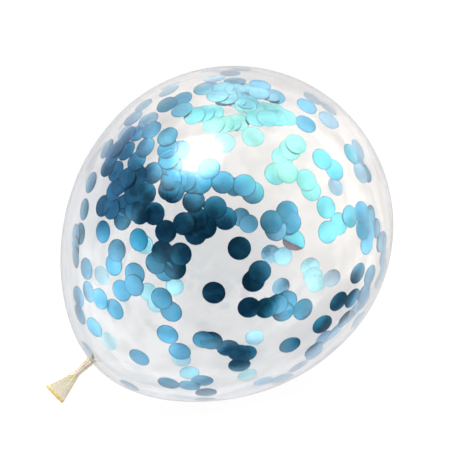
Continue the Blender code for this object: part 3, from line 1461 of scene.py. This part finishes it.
@dataclass
class Studio:
    """The pale floor, the light and the camera.

    Attributes:
        form: The balloon's form.
        surround: Radiance of the plain white room.
        patches: Soft lights and dark screens, each laid over those before it.
        veil: A grey screen behind, which only the outside of the skin shows.
        key: The key light, as the outside of the skin shows it.
        key_inside: Its radiance for what the light meets inside the balloon.
        clutter: How unevenly the room itself is lit.
        clutter_scale: How small the uneven blotches are.
        drape: How irregular the outlines of the patches are.
        drape_scale: How small their irregularities are.
        inside_from: Faces of latex crossed, past which light has been inside the balloon.
        floor_reach: Radius of the floor.
        floor_sides: Sides of the floor's rim.
        floor_drop: How far the floor lies under the flat spot.
        lens: Focal length in millimetres.
        sensor: Sensor width in millimetres.
        distance: Distance of the camera from its aim.
        elevation: Angle of the camera above the horizon.
        roll: Turn of the camera about its own view.
        aim_left: How far left of the body's middle the camera aims.
        aim_up: How far above it.
    """

    form: BalloonForm
    surround: Colour = (1.20, 1.20, 1.22)
    patches: tuple[SoftPatch, ...] = (
        SoftPatch(180, 0, 25, 60, (1.50, 1.50, 1.52)),
        SoftPatch(150, 45, 20, 50, (2.00, 2.00, 2.05)),
        SoftPatch(85, 0, 33, 58, (2.05, 2.10, 2.10)),
        SoftPatch(60, 40, 20, 45, (2.30, 2.35, 2.25)),
        SoftPatch(40, 75, 15, 40, (2.20, 2.20, 2.20)),
        SoftPatch(-85, 68, 6, 20, (2.40, 2.45, 2.40)),
        SoftPatch(-90, -35, 24, 48, (1.45, 1.45, 1.45)),
        SoftPatch(-94, -6, 10, 32, (2.20, 2.25, 2.25)),
        SoftPatch(-80, -58, 6, 16, (1.90, 1.90, 1.95)),
        SoftPatch(150, -38, 10, 25, (1.90, 1.90, 1.95)),
        SoftPatch(-150, 68, 5, 14, (1.00, 1.03, 1.10)),
        SoftPatch(-134, 40, 8, 16, (0.85, 0.80, 1.00)),
        SoftPatch(-102, 34, 11, 29, (0.30, 0.42, 0.56)),
        SoftPatch(-75, 40, 6, 16, (0.22, 0.32, 0.42)),
        SoftPatch(-47, 22, 11, 25, (0.06, 0.09, 0.15)),
        SoftPatch(-12, -2, 20, 38, (0.05, 0.09, 0.13)),
        SoftPatch(-8, -42, 18, 36, (0.04, 0.08, 0.12)),
        SoftPatch(112, -56, 13, 24, (0.14, 0.19, 0.26)),
        SoftPatch(-70, -82, 8, 15, (0.14, 0.20, 0.28)),
        SoftPatch(50, -55, 9, 17, (1.80, 1.85, 1.85)),
        SoftPatch(-26, 63, 14, 29, (2.70, 2.70, 2.60)),
    )
    veil: SoftPatch = SoftPatch(180, -5, 45, 75, (0.87, 0.87, 0.89))
    key: SoftPatch = SoftPatch(-20, 60, 0, 22, (16.0, 16.0, 16.0))
    key_inside: Colour = (3.8, 3.8, 3.8)
    clutter: float = 0.35
    clutter_scale: float = 5.0
    drape: float = 0.22
    drape_scale: float = 3.0
    inside_from: float = 2.5
    floor_reach: float = 9.0
    floor_sides: int = 96
    floor_drop: float = 0.0002
    lens: float = 110.1
    sensor: float = 36.0
    distance: float = 1.30
    elevation: float = radians(5)
    roll: float = radians(15)
    aim_left: float = 0.0068
    aim_up: float = 0.0010

    def lay_floor(self, finish: bpy.types.Material) -> bpy.types.Object:
        """Lays the floor.

        Args:
            finish: The floor's material.

        Returns:
            The floor.
        """
        mesh = bmesh.new()
        under = Matrix.Translation((0, 0, -self.floor_drop))
        bmesh.ops.create_circle(mesh, cap_ends=True, radius=self.floor_reach,
                                segments=self.floor_sides, matrix=under)
        floor = finished_piece("pale_floor", mesh, finish, sharp=pi)
        floor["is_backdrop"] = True
        return floor

    def light(self) -> None:
        """Surrounds the balloon with a plain white room and soft patches of light and dark."""
        world = bpy.data.worlds.new("soft_studio")
        world.use_nodes = True
        bpy.context.scene.world = world
        graph = NodeGraph(world.node_tree)
        direction = graph.add("TexCoord").outputs["Generated"]
        wander = graph.noise(direction, self.drape_scale, output="Color")
        centred = graph.vectors("SUBTRACT", wander, (0.5, 0.5, 0.5))
        moved = graph.vectors("MULTIPLY", centred, (self.drape,) * 3)
        draped = graph.vectors("NORMALIZE", graph.vectors("ADD", direction, moved))
        path = graph.add("LightPath").outputs
        inside = graph.maths("GREATER_THAN", path["Transmission Depth"], self.inside_from)
        room: object = self.surround
        for patch in self.patches:
            room = graph.blend(patch.share(graph, draped), room, patch.light)
        blotches = graph.ease(graph.noise(direction, self.clutter_scale, detail=1.0), 0.3, 0.7,
                              1 - self.clutter, 1 + self.clutter)
        room = graph.vectors("MULTIPLY", room, blotches)
        veiled = graph.maths("MULTIPLY", self.veil.share(graph, direction),
                             graph.maths("SUBTRACT", 1.0, inside))
        room = graph.blend(veiled, room, self.veil.light)
        key = graph.blend(inside, self.key.light, self.key_inside)
        soft = graph.maths("POWER", self.key.share(graph, draped), 2.0)
        room = graph.blend(soft, room, key)
        bounces = graph.maths("ADD", path["Glossy Depth"], path["Diffuse Depth"])
        straight = graph.maths("MULTIPLY", path["Is Transmission Ray"],
                               graph.maths("LESS_THAN", bounces, 0.5))
        seen = graph.maths("MAXIMUM", path["Is Camera Ray"], straight)
        background = world.node_tree.nodes["Background"]
        graph.feed(background.inputs["Color"], graph.blend(seen, room, (1.0, 1.0, 1.0)))

    def stand_camera(self) -> bpy.types.Object:
        """Stands the camera in front, a little above the balloon and rolled.

        Returns:
            The camera.
        """
        look = Vector((0, cos(self.elevation), -sin(self.elevation)))
        level = Vector((1, 0, 0))
        upright = level.cross(look)
        right = level * cos(self.roll) - upright * sin(self.roll)
        up = upright * cos(self.roll) + level * sin(self.roll)
        middle = self.form.placing().to_translation()
        aim = middle - right * self.aim_left + up * self.aim_up
        data = bpy.data.cameras.new("camera")
        data.lens = self.lens
        data.sensor_width = self.sensor
        camera = bpy.data.objects.new("camera", data)
        turned = Matrix((right, up, -look)).transposed().to_4x4()
        camera.matrix_world = Matrix.Translation(aim - look * self.distance) @ turned
        bpy.context.scene.collection.objects.link(camera)
        bpy.context.scene.camera = camera
        return camera


# ---------------------------------------------------------------- the whole


def write_sizes() -> None:
    """Logs the CAD box and the dressed balloon's box."""
    boxes = {"cad": CAD_BOX, "visual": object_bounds()}
    plain = {name: [list(corner) for corner in box] for name, box in boxes.items()}
    LOG.info("sizes: %s", plain)


def main() -> None:
    """Builds, dresses and declares every piece, then the studio."""
    logging.basicConfig(level=logging.INFO, format="%(name)s: %(message)s")
    form = BalloonForm.from_frame(BALLOON_NODE)
    neck = form.neck_frame()

    skin = ClearSkin(form)
    outside = skin.shape()
    tree = BVHTree.FromBMesh(outside)
    outside.free()
    declare(skin.build(ClearLatex().make(neck)), "clear_latex", BALLOON_NODE)

    mouth = NeckAndLip(neck, tree)
    milky = MilkyLatex().make(neck, mouth.length, 2 * mouth.roll / mouth.length)
    declare(mouth.build(milky), "milky_latex", BALLOON_NODE)

    foil = BlueFoil().make()
    confetti = ConfettiDrifts(form, tree, skin.wall)
    for name, drifts in CONFETTI.items():
        declare(confetti.build(name, drifts, foil), "blue_foil")
    LOG.info("%d foil discs", len(confetti.placed))

    studio = Studio(form)
    studio.lay_floor(PaleFloor().make())
    studio.light()
    studio.stand_camera()
    bpy.context.scene.view_settings.view_transform = "Standard"
    write_sizes()


if __name__ == "__main__":
    main()
